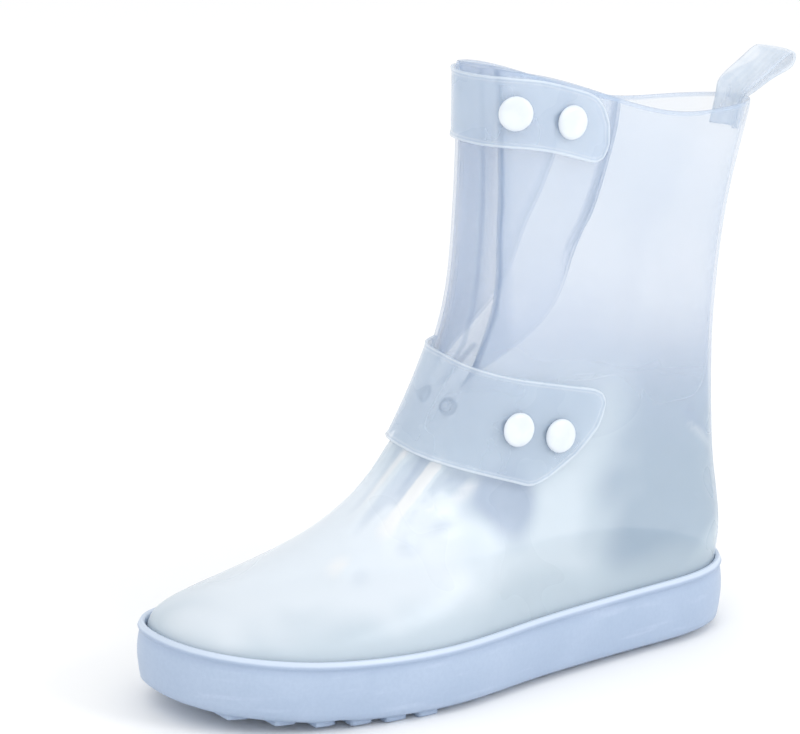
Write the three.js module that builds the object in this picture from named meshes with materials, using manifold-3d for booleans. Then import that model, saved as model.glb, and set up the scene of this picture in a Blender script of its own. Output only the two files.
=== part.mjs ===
// Rain cover for the left shoe: a see-through moulded boot. Its upper is one thin wall, closed under
// the foot and open at the rim, with a bellows fold at the front of the shaft. A thick sole cup holds
// it. A tab at the rim and a strap at the ankle close the fold with press studs, and a ribbon loop
// stands up at the back of the rim.
// Millimetres, +Z up. The toe points to -Y and the outer side of the foot is +X. The origin lies on
// the ground under the middle of the sole.
import * as THREE from "three";
import { mergeVertices } from "three/addons/utils/BufferGeometryUtils.js";
import Module from "manifold-3d";

// Sole
const SOLE_LENGTH = 300;
const BALL_WIDTH = 116;
const HEEL_WIDTH = 83;
const HEEL_WALL_HEIGHT = 33;
const TOE_WALL_HEIGHT = 30;
const SOLE_WALL = 3;
const PLATE = 3;
const LUG_HEIGHT = 2.5;
const LUGS_ACROSS = 3;
const LUG_LENGTH = 10;
const LUG_PITCH = 16;
const LUG_SPACE = 4;
const LUG_INSET = 9;
const TOE_LUG_INSET = 4;
const LUG_ROOT = 1;
const TOE_SPRING = 9;
const TOE_SKEW = 8;
const SOLE_EDGE = 4;
const SOLE_BULGE = 0.8;
const BULGE_HEIGHT = 13;
const SHOULDER_DROP = 8;
const LIP_HEIGHT = 3;
const LIP_GROOVE = 0.7;
const GROOVE_HEIGHT = 1.2;
const LIP_BULGE = 0.3;
const LIP_ROUND = 1;
const CUP_FILLET = 5;

// Upper
const RIM_FRONT_HEIGHT = 273;
const RIM_BACK_HEIGHT = 246;
const RIM_BEAD = 0.7;
const SHAFT_WIDTH = 76;
const WALL = 1.5;
const FIT_GAP = 0.3;
const SOLE_FIT = 0.55;
const SOCK_RISE = 13;

// Bellows fold at the front of the shaft
const LAYER_PITCH = 4.2;
const FOLD_DEPTH = 63;
const FOLD_EDGE_SETBACK = 8;
const TONGUE_WIDTH = 17;

// Tab at the rim and strap at the ankle
const STRAP_THICKNESS = 1.6;
const STRAP_LIFT = 4.4;
const STRAP_SEAT = 1.2;
const STRAP_EASE = 12;
const TAB_WIDTH = 31;
const TAB_REACH = 70;
const TAB_ROOT = 26;
const TAB_DROP = 2.5;
const ANKLE_STRAP_WIDTH = 40;
const ANKLE_STRAP_REACH = 93;
const ANKLE_STRAP_ROOT = 30;
const ANKLE_STRAP_RISE_SHARE = 0.383;
const ANKLE_STRAP_DROP = 20;

// Press studs
const CAP_DIAMETER = 16;
const CAP_DOME = 2.2;
const POST_DIAMETER = 4;
const SOCKET_DIAMETER = 10;
const FLANGE_DIAMETER = 9;
const FLANGE_THICKNESS = 0.8;
const CURVE_GAP = 1;
const CAP_SEAT = 0.6;
const SOCKET_ROOF = 0.6;
const STUD_SPACING = 26;
const TAB_STUD_PLACE = 23;
const ANKLE_STUD_PLACE = 47;
const SPARE_STUD_PLACE = -6;
const SPARE_STUD_SPACING = 18;
const SPARE_STUD_RISE = 2;

// Pull loop
const LOOP_WIDTH = 24;
const LOOP_THICKNESS = 1.4;
const LOOP_RISE = 21;
const LOOP_REACH = 25;
const LOOP_TAIL = 14;
const LOOP_SEAT = 0.9;

const HALF_LENGTH = SOLE_LENGTH / 2;
const FLOOR = LUG_HEIGHT + PLATE + FIT_GAP;
const FRONT_RISE = RIM_FRONT_HEIGHT - HEEL_WALL_HEIGHT;
const BACK_RISE = RIM_BACK_HEIGHT - HEEL_WALL_HEIGHT;
const ANKLE_STRAP_HEIGHT = HEEL_WALL_HEIGHT + ANKLE_STRAP_RISE_SHARE * FRONT_RISE;
const UPPER_INSET = SOLE_WALL + SOLE_FIT + WALL / 2;

const mix = (a, b, share) => a + (b - a) * share;
const clamp01 = (value) => Math.min(1, Math.max(0, value));
const smooth = (value) => clamp01(value) ** 2 * (3 - 2 * clamp01(value));

// A smooth reading of a table whose first column is the place and whose others are named.
function tableReader(columns, rows) {
  const places = rows.map((row) => row[0]);
  const values = rows.flatMap((row) => row.slice(1));
  const curve = new THREE.CubicInterpolant(places, values, columns.length - 1);
  return (place) => {
    const found = curve.evaluate(Math.min(places[places.length - 1], Math.max(places[0], place)));
    return Object.fromEntries(columns.slice(1).map((name, i) => [name, found[i]]));
  };
}

// Sections of the upper by level, from the welt at 0 to the rim at 1. Heights are shares of the rises
// from the welt to the rim's back and front, places shares of half the sole and widths shares of the
// heel, shaft and ball widths. The rounds are the shares of the section's length that its two ends take.
const sectionAt = tableReader(
  ["level", "back_height", "front_height", "back_place", "front_place", "heel_width", "shaft_width",
    "ball_width", "back_round", "toe_round", "toe_power", "foot_share", "fold_strength", "fold_depth"],
  [
    [0.0, 0.0, 0.0, 0.973, -0.973, 0.9, 1.18, 0.93, 0.15, 0.24, 2.4, 1.0, 0.0, 0.0],
    [0.06, 0.051, 0.028, 0.99, -0.945, 0.92, 1.1, 0.9, 0.16, 0.25, 2.3, 0.95, 0.0, 0.0],
    [0.12, 0.101, 0.06, 0.987, -0.85, 0.9, 1.03, 0.82, 0.17, 0.27, 2.2, 0.8, 0.0, 0.0],
    [0.18, 0.158, 0.095, 0.974, -0.7, 0.88, 1.0, 0.72, 0.18, 0.28, 2.1, 0.6, 0.0, 0.0],
    [0.24, 0.214, 0.135, 0.955, -0.53, 0.87, 0.98, 0.62, 0.19, 0.28, 2.0, 0.4, 0.0, 0.0],
    [0.3, 0.27, 0.188, 0.945, -0.37, 0.86, 0.95, 0.56, 0.2, 0.27, 2.0, 0.2, 0.0, 0.0],
    [0.36, 0.327, 0.26, 0.935, -0.23, 0.86, 0.92, 0.53, 0.21, 0.25, 2.0, 0.1, 0.0, 0.0],
    [0.42, 0.383, 0.345, 0.928, -0.13, 0.85, 0.9, 0.52, 0.22, 0.22, 2.0, 0.0, 0.0, 0.0],
    [0.48, 0.439, 0.425, 0.924, -0.055, 0.84, 0.88, 0.51, 0.23, 0.19, 2.1, 0.0, 0.12, 0.06],
    [0.54, 0.501, 0.5, 0.925, 0.0, 0.81, 0.86, 0.49, 0.24, 0.17, 2.2, 0.0, 1.0, 0.27],
    [0.62, 0.586, 0.585, 0.936, 0.03, 0.77, 0.84, 0.475, 0.25, 0.15, 2.2, 0.0, 1.0, 0.46],
    [0.7, 0.676, 0.68, 0.955, 0.042, 0.72, 0.8, 0.46, 0.26, 0.14, 2.2, 0.0, 1.0, 0.55],
    [0.78, 0.766, 0.77, 0.985, 0.047, 0.66, 0.75, 0.445, 0.28, 0.13, 2.2, 0.0, 1.0, 0.71],
    [0.86, 0.851, 0.86, 1.028, 0.042, 0.6, 0.7, 0.42, 0.3, 0.13, 2.2, 0.0, 1.0, 0.84],
    [0.93, 0.93, 0.935, 1.068, 0.037, 0.55, 0.66, 0.405, 0.31, 0.13, 2.2, 0.0, 1.0, 0.94],
    [1.0, 1.0, 1.0, 1.1, 0.033, 0.52, 0.62, 0.395, 0.32, 0.13, 2.2, 0.0, 1.0, 1.0],
  ]
);

// Places along a section, from its back at 0 to its front at 1, where the named widths hold.
const WIDTH_PLACES = { heel: 0.13, waist: 0.42, ball: 0.62, toe: 0.82 };
const INNER_WAIST_SHARE = 0.8;
const TOE_TAPER = 0.93;
const TIP_TAPER = 0.84;
const HEEL_POWER = 2.24;

function halfWidthReader(section, side) {
  const heel = (section.heel_width * HEEL_WIDTH) / 2;
  const narrowing = side > 0 ? 1 : mix(1, INNER_WAIST_SHARE, section.foot_share);
  const waist = (section.shaft_width * SHAFT_WIDTH * narrowing) / 2;
  const ball = (section.ball_width * BALL_WIDTH) / 2;
  const widthAt = tableReader(["place", "half"], [
    [0, heel * 0.97],
    [WIDTH_PLACES.heel, heel],
    [WIDTH_PLACES.waist, waist],
    [WIDTH_PLACES.ball, ball],
    [WIDTH_PLACES.toe, ball * TOE_TAPER],
    [1, ball * TIP_TAPER],
  ]);
  const cap = (depth, round, power) =>
    depth >= round ? 1 : Math.max(0, 1 - ((round - depth) / round) ** power) ** (1 / power);
  return (place) =>
    widthAt(place).half *
    cap(place, section.back_round, HEEL_POWER) *
    cap(1 - place, section.toe_round, section.toe_power);
}

// Rise of the ground side of the sole ahead of the ball, and the sideways bend of the toe.
const springAt = (y) => TOE_SPRING * clamp01((-y / HALF_LENGTH - 0.3) / 0.7) ** 2;
const skewAt = (y, footShare) => -TOE_SKEW * footShare * clamp01((-y / HALF_LENGTH - 0.2) / 0.8) ** 2;
const wallHeightAt = (y) => mix(HEEL_WALL_HEIGHT, TOE_WALL_HEIGHT, 0.5 - y / SOLE_LENGTH);

// Half of a section's outline from the back to the front, as points with their running length.
const OUTLINE_SAMPLES = 90;
const outlineStore = new Map();
function halfOutline(level, side) {
  const key = `${level} ${side}`;
  if (outlineStore.has(key)) return outlineStore.get(key);
  const section = sectionAt(level);
  const widthAt = halfWidthReader(section, side);
  const back = section.back_place * HALF_LENGTH;
  const front = section.front_place * HALF_LENGTH;
  const points = [];
  let run = 0;
  for (let i = 0; i <= OUTLINE_SAMPLES; i += 1) {
    const place = (1 - Math.cos((Math.PI * i) / OUTLINE_SAMPLES)) / 2;
    const y = mix(back, front, place);
    const x = side * widthAt(place) + skewAt(y, section.foot_share);
    if (i) run += Math.hypot(x - points[i - 1].x, y - points[i - 1].y);
    points.push({ x, y, run });
  }
  const outline = { section, points, length: run, back, front, widthAt, side };
  outlineStore.set(key, outline);
  return outline;
}

function outlineAt(outline, run) {
  const { points } = outline;
  let i = 1;
  while (i < points.length - 1 && points[i].run < run) i += 1;
  const share = clamp01((run - points[i - 1].run) / (points[i].run - points[i - 1].run));
  return { x: mix(points[i - 1].x, points[i].x, share), y: mix(points[i - 1].y, points[i].y, share) };
}

// Height of the upper over a place of a section: flat over the heel, then up an even slope that
// levels out again at the front.
const SLOPE_START_SHARE = 0.28;
function heightAt(section, y) {
  const back = section.back_place * HALF_LENGTH;
  const front = section.front_place * HALF_LENGTH;
  const toFront = smooth(((back - y) / (back - front) - SLOPE_START_SHARE) / (1 - SLOPE_START_SHARE));
  const rise = mix(section.back_height * BACK_RISE, section.front_height * FRONT_RISE, toFront);
  const ground = wallHeightAt(y) + springAt(y);
  return mix(HEEL_WALL_HEIGHT, ground, section.foot_share) + rise;
}

const BODY_STEPS = 17;
const END_CROWDING_SHARE = 0.5;
const TURN_STEPS = 3;
const LAYER_STEPS = 2;
const FRONT_STEPS = 2;
const FOLD_STEPS = 2 * TURN_STEPS + 2 * LAYER_STEPS + 1 + FRONT_STEPS;
const FOOT_BODY_SHARE = 0.6;

// Half of a section of the upper's middle surface, from the back to the front of the tongue. Its
// front stretch is folded in behind the side wall, and spread along the outline where it has no fold.
function halfSection(level, side) {
  const outline = halfOutline(level, side);
  const { section, points, length, back, front, widthAt } = outline;
  const strength = clamp01(section.fold_strength);
  const edgeY = front + FOLD_EDGE_SETBACK;
  const foldedEdge = points.find((point) => point.y <= edgeY).run;
  const edgeRun = mix(length * FOOT_BODY_SHARE, foldedEdge, smooth((1 - section.foot_share) ** 2));
  const middleLine = [];
  for (let i = 0; i < BODY_STEPS; i += 1) {
    const share = mix(i / BODY_STEPS, smooth(i / BODY_STEPS), END_CROWDING_SHARE);
    middleLine.push(outlineAt(outline, edgeRun * share));
  }
  const edge = outlineAt(outline, edgeRun);
  middleLine.push(edge);

  const depth = FOLD_DEPTH * Math.max(0, section.fold_depth);
  const layerX = (y, layer) => {
    const place = clamp01((back - y) / (back - front));
    return side * (widthAt(Math.min(place, (back - edge.y) / (back - front))) - layer * LAYER_PITCH);
  };
  const folded = [];
  const turn = (y, layer, way) => {
    for (let i = 1; i <= TURN_STEPS; i += 1) {
      const angle = (Math.PI * i) / TURN_STEPS;
      const x = layerX(y, layer + (1 - Math.cos(angle)) / 2);
      folded.push({ x, y: y + way * Math.sin(angle) * (LAYER_PITCH / 2) });
    }
  };
  turn(edge.y, 0, -1);
  for (let i = 1; i <= LAYER_STEPS; i += 1) {
    const y = edge.y + (depth * i) / LAYER_STEPS;
    folded.push({ x: layerX(y, 1), y });
  }
  turn(edge.y + depth, 1, 1);
  for (let i = 1; i <= LAYER_STEPS; i += 1) {
    const y = edge.y + depth * (1 - i / LAYER_STEPS);
    folded.push({ x: layerX(y, 2), y });
  }
  const cornerX = TONGUE_WIDTH / 2;
  const corner = [...points].reverse().find((point) => Math.abs(point.x) >= cornerX);
  folded.push({ x: side * cornerX, y: corner.y });
  for (let i = 1; i <= FRONT_STEPS; i += 1) {
    const share = i / FRONT_STEPS;
    folded.push({ x: side * cornerX * (1 - share), y: mix(corner.y, front, share) });
  }
  folded.forEach((point, i) => {
    const flat = outlineAt(outline, mix(edgeRun, length, (i + 1) / FOLD_STEPS));
    middleLine.push({ x: mix(flat.x, point.x, strength), y: mix(flat.y, point.y, strength) });
  });
  return { section, points: middleLine };
}

// A whole section: the outer half from back to front, then the inner half from front to back.
function wholeSection(level) {
  const outer = halfSection(level, 1);
  const inner = halfSection(level, -1);
  const loop = [...outer.points, ...inner.points.slice(1, -1).reverse()];
  return loop.map(({ x, y }) => new THREE.Vector3(x, y, heightAt(outer.section, y)));
}

// Normals of a grid of points, rows first, from the differences of neighbouring points.
function gridNormals(grid, closed) {
  const rows = grid.length;
  const columns = grid[0].length;
  return grid.map((row, r) =>
    row.map((point, c) => {
      const before = closed ? (c + columns - 1) % columns : Math.max(0, c - 1);
      const after = closed ? (c + 1) % columns : Math.min(columns - 1, c + 1);
      const along = new THREE.Vector3().subVectors(row[after], row[before]).normalize();
      const up = new THREE.Vector3()
        .subVectors(grid[Math.min(rows - 1, r + 1)][c], grid[Math.max(0, r - 1)][c])
        .normalize();
      return up.cross(along).normalize();
    })
  );
}

function offsetGrid(grid, normals, distance) {
  return grid.map((row, r) =>
    row.map((point, c) => point.clone().addScaledVector(normals[r][c], distance))
  );
}

// Collects triangles as grid strips and turns them into one closed body that faces out.
class BodyBuilder {
  constructor() {
    this.positions = [];
  }

  triangle(a, b, c) {
    for (const point of [a, b, c]) this.positions.push(point.x, point.y, point.z);
  }

  strip(first, second, closed) {
    const count = first.length;
    for (let c = 0; c < (closed ? count : count - 1); c += 1) {
      const d = (c + 1) % count;
      this.triangle(first[c], second[d], first[d]);
      this.triangle(first[c], second[c], second[d]);
    }
  }

  skin(grid, closed) {
    for (let r = 0; r + 1 < grid.length; r += 1) this.strip(grid[r], grid[r + 1], closed);
  }

  // Closes a ring whose two halves mirror each other across the middle line.
  slit(ring) {
    const last = ring.length / 2;
    const left = ring.slice(0, last + 1);
    const right = [ring[0], ...ring.slice(last).reverse()];
    for (let i = 0; i < last; i += 1) {
      if (i + 1 < last) this.triangle(left[i], left[i + 1], right[i + 1]);
      if (i > 0) this.triangle(left[i], right[i + 1], right[i]);
    }
  }

  geometry() {
    const geometry = new THREE.BufferGeometry();
    geometry.setAttribute("position", new THREE.Float32BufferAttribute(this.positions, 3));
    return mergeVertices(geometry, 1e-4);
  }
}

// A thin open sheet from its middle surface: two skins and the strips round its edge.
function sheetGeometry(grid, thickness) {
  const normals = gridNormals(grid, false);
  const outer = offsetGrid(grid, normals, thickness / 2);
  const inner = offsetGrid(grid, normals, -thickness / 2);
  const body = new BodyBuilder();
  const lastRow = grid.length - 1;
  const column = (source, c) => source.map((row) => row[c]);
  const lastColumn = grid[0].length - 1;
  body.skin(outer, false);
  body.skin([...inner].reverse(), false);
  body.strip(outer[lastRow], inner[lastRow], false);
  body.strip(inner[0], outer[0], false);
  body.strip(column(outer, 0), column(inner, 0), false);
  body.strip(column(inner, lastColumn), column(outer, lastColumn), false);
  return body.geometry();
}

const wasm = await Module();
wasm.setup();

function toSolid(geometry) {
  return new wasm.Manifold(
    new wasm.Mesh({
      numProp: 3,
      vertProperties: new Float32Array(geometry.attributes.position.array),
      triVerts: new Uint32Array(geometry.index.array),
    })
  );
}

function fromSolid(solid) {
  const { vertProperties, triVerts } = solid.getMesh();
  const geometry = new THREE.BufferGeometry();
  geometry.setAttribute("position", new THREE.BufferAttribute(new Float32Array(vertProperties), 3));
  geometry.setIndex(new THREE.BufferAttribute(new Uint32Array(triVerts), 1));
  return geometry;
}

function addMesh(group, name, geometry, color, roughness) {
  const shaded = geometry.clone();
  shaded.computeVertexNormals();
  const material = new THREE.MeshStandardMaterial({ color, roughness, metalness: 0, flatShading: true });
  const mesh = new THREE.Mesh(shaded, material);
  mesh.name = name;
  group.add(mesh);
  return mesh;
}

// The sole's outline has the upper's columns, so that the two fit each other along their length.
function offsetOutline(outline, distance) {
  const count = outline.length;
  return outline.map((point, i) => {
    const before = outline[(i + count - 1) % count];
    const after = outline[(i + 1) % count];
    const normal = new THREE.Vector2(before.y - after.y, after.x - before.x).normalize();
    return new THREE.Vector2(point.x + normal.x * distance, point.y + normal.y * distance);
  });
}
const WELT_OUTLINE = wholeSection(0).map(({ x, y }) => new THREE.Vector2(x, y));
const SOLE_OUTLINE = offsetOutline(WELT_OUTLINE, UPPER_INSET);

// A ring of the sole or of the sock in it: how far in from the outline, how high over the ground side
// of the sole, and how far it is drawn in towards the middle line.
function soleRing({ inset, height, width, length }) {
  return offsetOutline(SOLE_OUTLINE, -inset).map(({ x, y }) => {
    const middle = skewAt(y, 1);
    const place = y * length;
    return new THREE.Vector3(middle + (x - middle) * width, place, springAt(place) + height(place));
  });
}
const MIDDLE = { width: 0.016, length: 0.8 };
const WHOLE = { width: 1, length: 1 };

// Upper: the sock that stands in the sole cup, then the sections from the welt to the rim.
const UPPER_LEVELS = 18;
function upperGeometry() {
  const sole = (rise) => () => FLOOR + WALL / 2 + rise;
  const rings = [
    { inset: UPPER_INSET + CUP_FILLET, height: sole(0), ...MIDDLE },
    { inset: UPPER_INSET + CUP_FILLET, height: sole(0), ...WHOLE },
    { inset: UPPER_INSET + CUP_FILLET * 0.32, height: sole(CUP_FILLET * 0.2), ...WHOLE },
    { inset: UPPER_INSET + CUP_FILLET * 0.04, height: sole(CUP_FILLET * 0.9), ...WHOLE },
    { inset: UPPER_INSET, height: sole(SOCK_RISE), ...WHOLE },
  ];
  const grid = rings.map(soleRing);
  for (let i = 0; i < UPPER_LEVELS; i += 1) grid.push(wholeSection(i / (UPPER_LEVELS - 1)));
  const normals = gridNormals(grid, true);
  const last = grid.length - 1;
  const halfWall = (r) => (WALL + (r === last ? RIM_BEAD : 0)) / 2;
  const skin = (way) =>
    grid.map((row, r) => {
      const distance = way * halfWall(r);
      return row.map((point, c) => point.clone().addScaledVector(normals[r][c], distance));
    });
  const outer = skin(1);
  const inner = skin(-1);
  const body = new BodyBuilder();
  body.skin(outer, true);
  body.skin([...inner].reverse(), true);
  body.strip(outer[last], inner[last], true);
  body.slit(outer[0]);
  body.slit(turned(inner[0]));
  return body.geometry();
}

// The same ring walked the other way round, from the same first point.
function turned(ring) {
  return [ring[0], ...ring.slice(1).reverse()];
}

// Sole cup: its underside, the bulged wall with a groove under the lip, and the inside.
function soleGeometry() {
  const bottom = (rise) => () => LUG_HEIGHT + rise;
  const top = (drop) => (y) => wallHeightAt(y) - drop;
  const rings = [
    { inset: SOLE_EDGE, height: bottom(0), ...MIDDLE },
    { inset: SOLE_EDGE, height: bottom(0), ...WHOLE },
    { inset: SOLE_EDGE * 0.22, height: bottom(SOLE_EDGE * 0.5), ...WHOLE },
    { inset: -SOLE_BULGE, height: bottom(BULGE_HEIGHT), ...WHOLE },
    { inset: -SOLE_BULGE * 0.25, height: top(SHOULDER_DROP), ...WHOLE },
    { inset: LIP_GROOVE, height: top(LIP_HEIGHT + GROOVE_HEIGHT), ...WHOLE },
    { inset: -LIP_BULGE, height: top(LIP_HEIGHT - LIP_BULGE), ...WHOLE },
    { inset: LIP_ROUND, height: top(0), ...WHOLE },
    { inset: SOLE_WALL, height: top(LIP_BULGE), ...WHOLE },
    { inset: SOLE_WALL, height: bottom(PLATE + CUP_FILLET), ...WHOLE },
    { inset: SOLE_WALL + CUP_FILLET * 0.28, height: bottom(PLATE + CUP_FILLET * 0.2), ...WHOLE },
    { inset: SOLE_WALL + CUP_FILLET, height: bottom(PLATE), ...WHOLE },
    { inset: SOLE_WALL + CUP_FILLET, height: bottom(PLATE), ...MIDDLE },
  ];
  const grid = rings.map(soleRing);
  const body = new BodyBuilder();
  body.skin(grid, true);
  body.slit(grid[0]);
  body.slit(turned(grid[grid.length - 1]));
  return body.geometry();
}

// Tread: rows of blocks across the sole, each block following the ground side.
function lugGeometries() {
  const flatOutline = offsetOutline(SOLE_OUTLINE, -LUG_INSET);
  const toeOutline = offsetOutline(SOLE_OUTLINE, -TOE_LUG_INSET);
  const spanAt = (y) => {
    const outline = springAt(y) > 0 ? toeOutline : flatOutline;
    const crossings = [];
    outline.forEach((point, i) => {
      const next = outline[(i + 1) % outline.length];
      if ((point.y - y) * (next.y - y) < 0) {
        crossings.push(mix(point.x, next.x, (y - point.y) / (next.y - point.y)));
      }
    });
    return [Math.min(...crossings), Math.max(...crossings)];
  };
  const rows = Math.floor((HALF_LENGTH - LUG_INSET - LUG_LENGTH) / LUG_PITCH);
  const blocks = [];
  for (let row = -rows; row <= rows; row += 1) {
    const y = row * LUG_PITCH;
    const [from, to] = spanAt(y + (Math.sign(y) * LUG_LENGTH) / 2);
    const blockWidth = (to - from - (LUGS_ACROSS - 1) * LUG_SPACE) / LUGS_ACROSS;
    for (let i = 0; i < LUGS_ACROSS; i += 1) {
      const block = new THREE.BoxGeometry(blockWidth, LUG_LENGTH, LUG_HEIGHT + LUG_ROOT);
      const middle = from + blockWidth / 2 + i * (blockWidth + LUG_SPACE);
      block.translate(middle, y, (LUG_HEIGHT + LUG_ROOT) / 2);
      const { position } = block.attributes;
      for (let v = 0; v < position.count; v += 1) {
        position.setZ(v, position.getZ(v) + springAt(position.getY(v)));
      }
      blocks.push(block);
    }
  }
  return blocks;
}

function cleanGeometry(geometry) {
  const bare = new THREE.BufferGeometry();
  bare.setAttribute("position", geometry.attributes.position.clone());
  if (geometry.index) bare.setIndex(geometry.index.clone());
  return mergeVertices(bare, 1e-4);
}

// Places on the upper's unfolded outline, by the running distance from the front of the shaft, outer
// side positive, and by height.
function envelopeAtLevel(level, distance) {
  const outline = halfOutline(level, distance >= 0 ? 1 : -1);
  const { x, y } = outlineAt(outline, outline.length - Math.abs(distance));
  return new THREE.Vector3(x, y, heightAt(outline.section, y));
}
const SEARCH_STEPS = 14;
const SLOPE_SPAN = WALL;
function envelopeAt(distance, height) {
  let low = 0;
  let high = 1;
  for (let i = 0; i < SEARCH_STEPS; i += 1) {
    const middle = (low + high) / 2;
    if (envelopeAtLevel(middle, distance).z < height) low = middle;
    else high = middle;
  }
  return envelopeAtLevel((low + high) / 2, distance);
}
function frameAt(distance, height) {
  const point = envelopeAt(distance, height);
  const along = envelopeAt(distance + SLOPE_SPAN, height).sub(envelopeAt(distance - SLOPE_SPAN, height));
  const up = envelopeAt(distance, height + SLOPE_SPAN).sub(envelopeAt(distance, height - SLOPE_SPAN));
  return { point, normal: along.cross(up).normalize() };
}

// Straps: a band along the outline from its root on the inner side to its round tip on the outer
// side. It leaves the wall by the height of a closed press stud.
const STRAP_CROWDING_POWER = 1.2;
const STRAP_TIP_SHARE = 0.3;
const TIP_ROUND_SHARE = 0.38;
const TIP_POWER = 2.5;
const STRAP_ROWS = 3;
const STRAP_COLUMNS = 18;
function strapSolid({ root, reach, width, centreAt, liftFrom, holes }) {
  const tipRound = width * TIP_ROUND_SHARE;
  const places = [];
  for (let i = 0; i <= STRAP_COLUMNS; i += 1) {
    const share = i / STRAP_COLUMNS;
    places.push(mix(-root, reach, 1 - (1 - share) ** STRAP_CROWDING_POWER));
  }
  const taper = (place) => {
    const past = clamp01((place - (reach - tipRound)) / tipRound);
    return Math.max(STRAP_TIP_SHARE, (1 - past ** TIP_POWER) ** (1 / TIP_POWER));
  };
  const seated = WALL / 2 + STRAP_SEAT + STRAP_THICKNESS / 2;
  const lift = (place) => mix(seated, STRAP_LIFT, smooth((place - liftFrom) / STRAP_EASE));
  const grid = [];
  for (let j = 0; j <= STRAP_ROWS; j += 1) {
    grid.push(
      places.map((place) => {
        const height = centreAt(place) + (j / STRAP_ROWS - 0.5) * width * taper(place);
        const { point, normal } = frameAt(place, height);
        return point.addScaledVector(normal, lift(place));
      })
    );
  }
  const sheet = toSolid(sheetGeometry(grid.map((row) => [...row].reverse()), STRAP_THICKNESS));
  return holes.reduce((solid, hole) => solid.subtract(hole), sheet);
}

// Press studs: a cap whose post passes the strap to a socket, and a stud riveted through the wall.
const STRAP_OUTSIDE = STRAP_LIFT + STRAP_THICKNESS / 2;
const STRAP_INSIDE = STRAP_LIFT - STRAP_THICKNESS / 2;
const STUD_TIP = STRAP_INSIDE - CURVE_GAP - SOCKET_ROOF - FIT_GAP;
const STUD_SIDES = 12;
function lathe(rows) {
  const profile = rows.map(([r, h]) => new THREE.Vector2(r, h));
  return cleanGeometry(new THREE.LatheGeometry(profile, STUD_SIDES));
}
const DOME_PROFILE = [
  { radius: 1, rise: 0 },
  { radius: 1, rise: 0.35 },
  { radius: 0.86, rise: 0.8 },
  { radius: 0.5, rise: 1 },
  { radius: 0, rise: 1 },
];
function capGeometry() {
  const post = POST_DIAMETER / 2;
  const socket = SOCKET_DIAMETER / 2;
  const rim = CAP_DIAMETER / 2;
  const seat = STRAP_OUTSIDE + CAP_SEAT;
  const socketFoot = WALL / 2 + CAP_SEAT;
  return lathe([
    [0, STUD_TIP + FIT_GAP],
    [post + FIT_GAP, STUD_TIP + FIT_GAP],
    [post + FIT_GAP, socketFoot],
    [socket, socketFoot],
    [socket, STRAP_INSIDE - CURVE_GAP],
    [post, STRAP_INSIDE - CURVE_GAP],
    [post, seat],
    ...DOME_PROFILE.map(({ radius, rise }) => [rim * radius, seat + CAP_DOME * rise]),
  ]);
}
function studGeometry() {
  const post = POST_DIAMETER / 2;
  const flange = FLANGE_DIAMETER / 2;
  const seat = -WALL / 2 - CURVE_GAP;
  return lathe([
    [0, seat - FLANGE_THICKNESS],
    [flange, seat - FLANGE_THICKNESS],
    [flange, seat],
    [post, seat],
    [post, STUD_TIP],
    [0, STUD_TIP],
  ]);
}
function placed(geometry, { point, normal }) {
  const turn = new THREE.Quaternion().setFromUnitVectors(new THREE.Vector3(0, 1, 0), normal);
  return geometry.clone().applyQuaternion(turn).translate(point.x, point.y, point.z);
}
function hole(frame, from, to) {
  const radius = POST_DIAMETER / 2 + FIT_GAP;
  const drill = new THREE.CylinderGeometry(radius, radius, to - from, STUD_SIDES);
  drill.translate(0, (from + to) / 2, 0);
  return toSolid(placed(cleanGeometry(drill), frame));
}

const tabCentre = (place) => {
  const { z } = envelopeAtLevel(1, place);
  return z - TAB_DROP - TAB_WIDTH / 2;
};
const ankleCentre = (place) =>
  ANKLE_STRAP_HEIGHT - ANKLE_STRAP_DROP * (Math.max(0, place) / ANKLE_STRAP_REACH);

const tabStuds = [0, 1].map((i) => {
  const place = TAB_STUD_PLACE + i * STUD_SPACING;
  return frameAt(place, tabCentre(place));
});
const ankleStuds = [0, 1].map((i) => {
  const place = ANKLE_STUD_PLACE + i * STUD_SPACING;
  return frameAt(place, ankleCentre(place));
});
const spareStuds = [0, 1].map((i) => {
  const place = SPARE_STUD_PLACE + i * SPARE_STUD_SPACING;
  return frameAt(place, ankleCentre(place) + SPARE_STUD_RISE);
});

const strapHoles = (frames) =>
  frames.map((frame) => hole(frame, STRAP_INSIDE - STRAP_THICKNESS, STRAP_OUTSIDE + STRAP_THICKNESS));
const wallHoles = [...tabStuds, ...ankleStuds, ...spareStuds].map((frame) => hole(frame, -WALL, WALL));

// Pull loop: a ribbon whose two ends lie on the inside of the back wall, under the rim. The path
// starts at the inner end, as shares of the loop's reach behind the wall and of its rise.
const LOOP_PATH_COLUMNS = ["reach", "rise"];
const LOOP_PATH = [
  [-0.06, 0.22],
  [0.26, 0.47],
  [0.54, 0.73],
  [0.8, 0.94],
  [0.93, 0.88],
  [0.94, 0.7],
  [0.84, 0.58],
  [0.62, 0.49],
  [0.28, 0.34],
  [0.07, 0.17],
].map((row) => Object.fromEntries(LOOP_PATH_COLUMNS.map((name, i) => [name, row[i]])));
const LOOP_STEPS = 20;
const LOOP_COLUMNS = 4;
const LOOP_FLAT_SHARE = 0.4;

function backWallAt(x, height) {
  let low = 0;
  let high = 1;
  for (let i = 0; i < SEARCH_STEPS; i += 1) {
    const middle = (low + high) / 2;
    const { section, back } = halfOutline(middle, 1);
    if (heightAt(section, back) < height) low = middle;
    else high = middle;
  }
  const { points } = halfSection((low + high) / 2, 1);
  const i = Math.max(1, points.findIndex((point) => point.x >= Math.abs(x)));
  const [first, second] = [points[i - 1], points[i]];
  const y = mix(first.y, second.y, (Math.abs(x) - first.x) / (second.x - first.x));
  const normal = new THREE.Vector2(Math.sign(x) * (first.y - second.y), second.x - first.x).normalize();
  return { y, normal: x === 0 ? new THREE.Vector2(0, 1) : normal };
}

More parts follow.
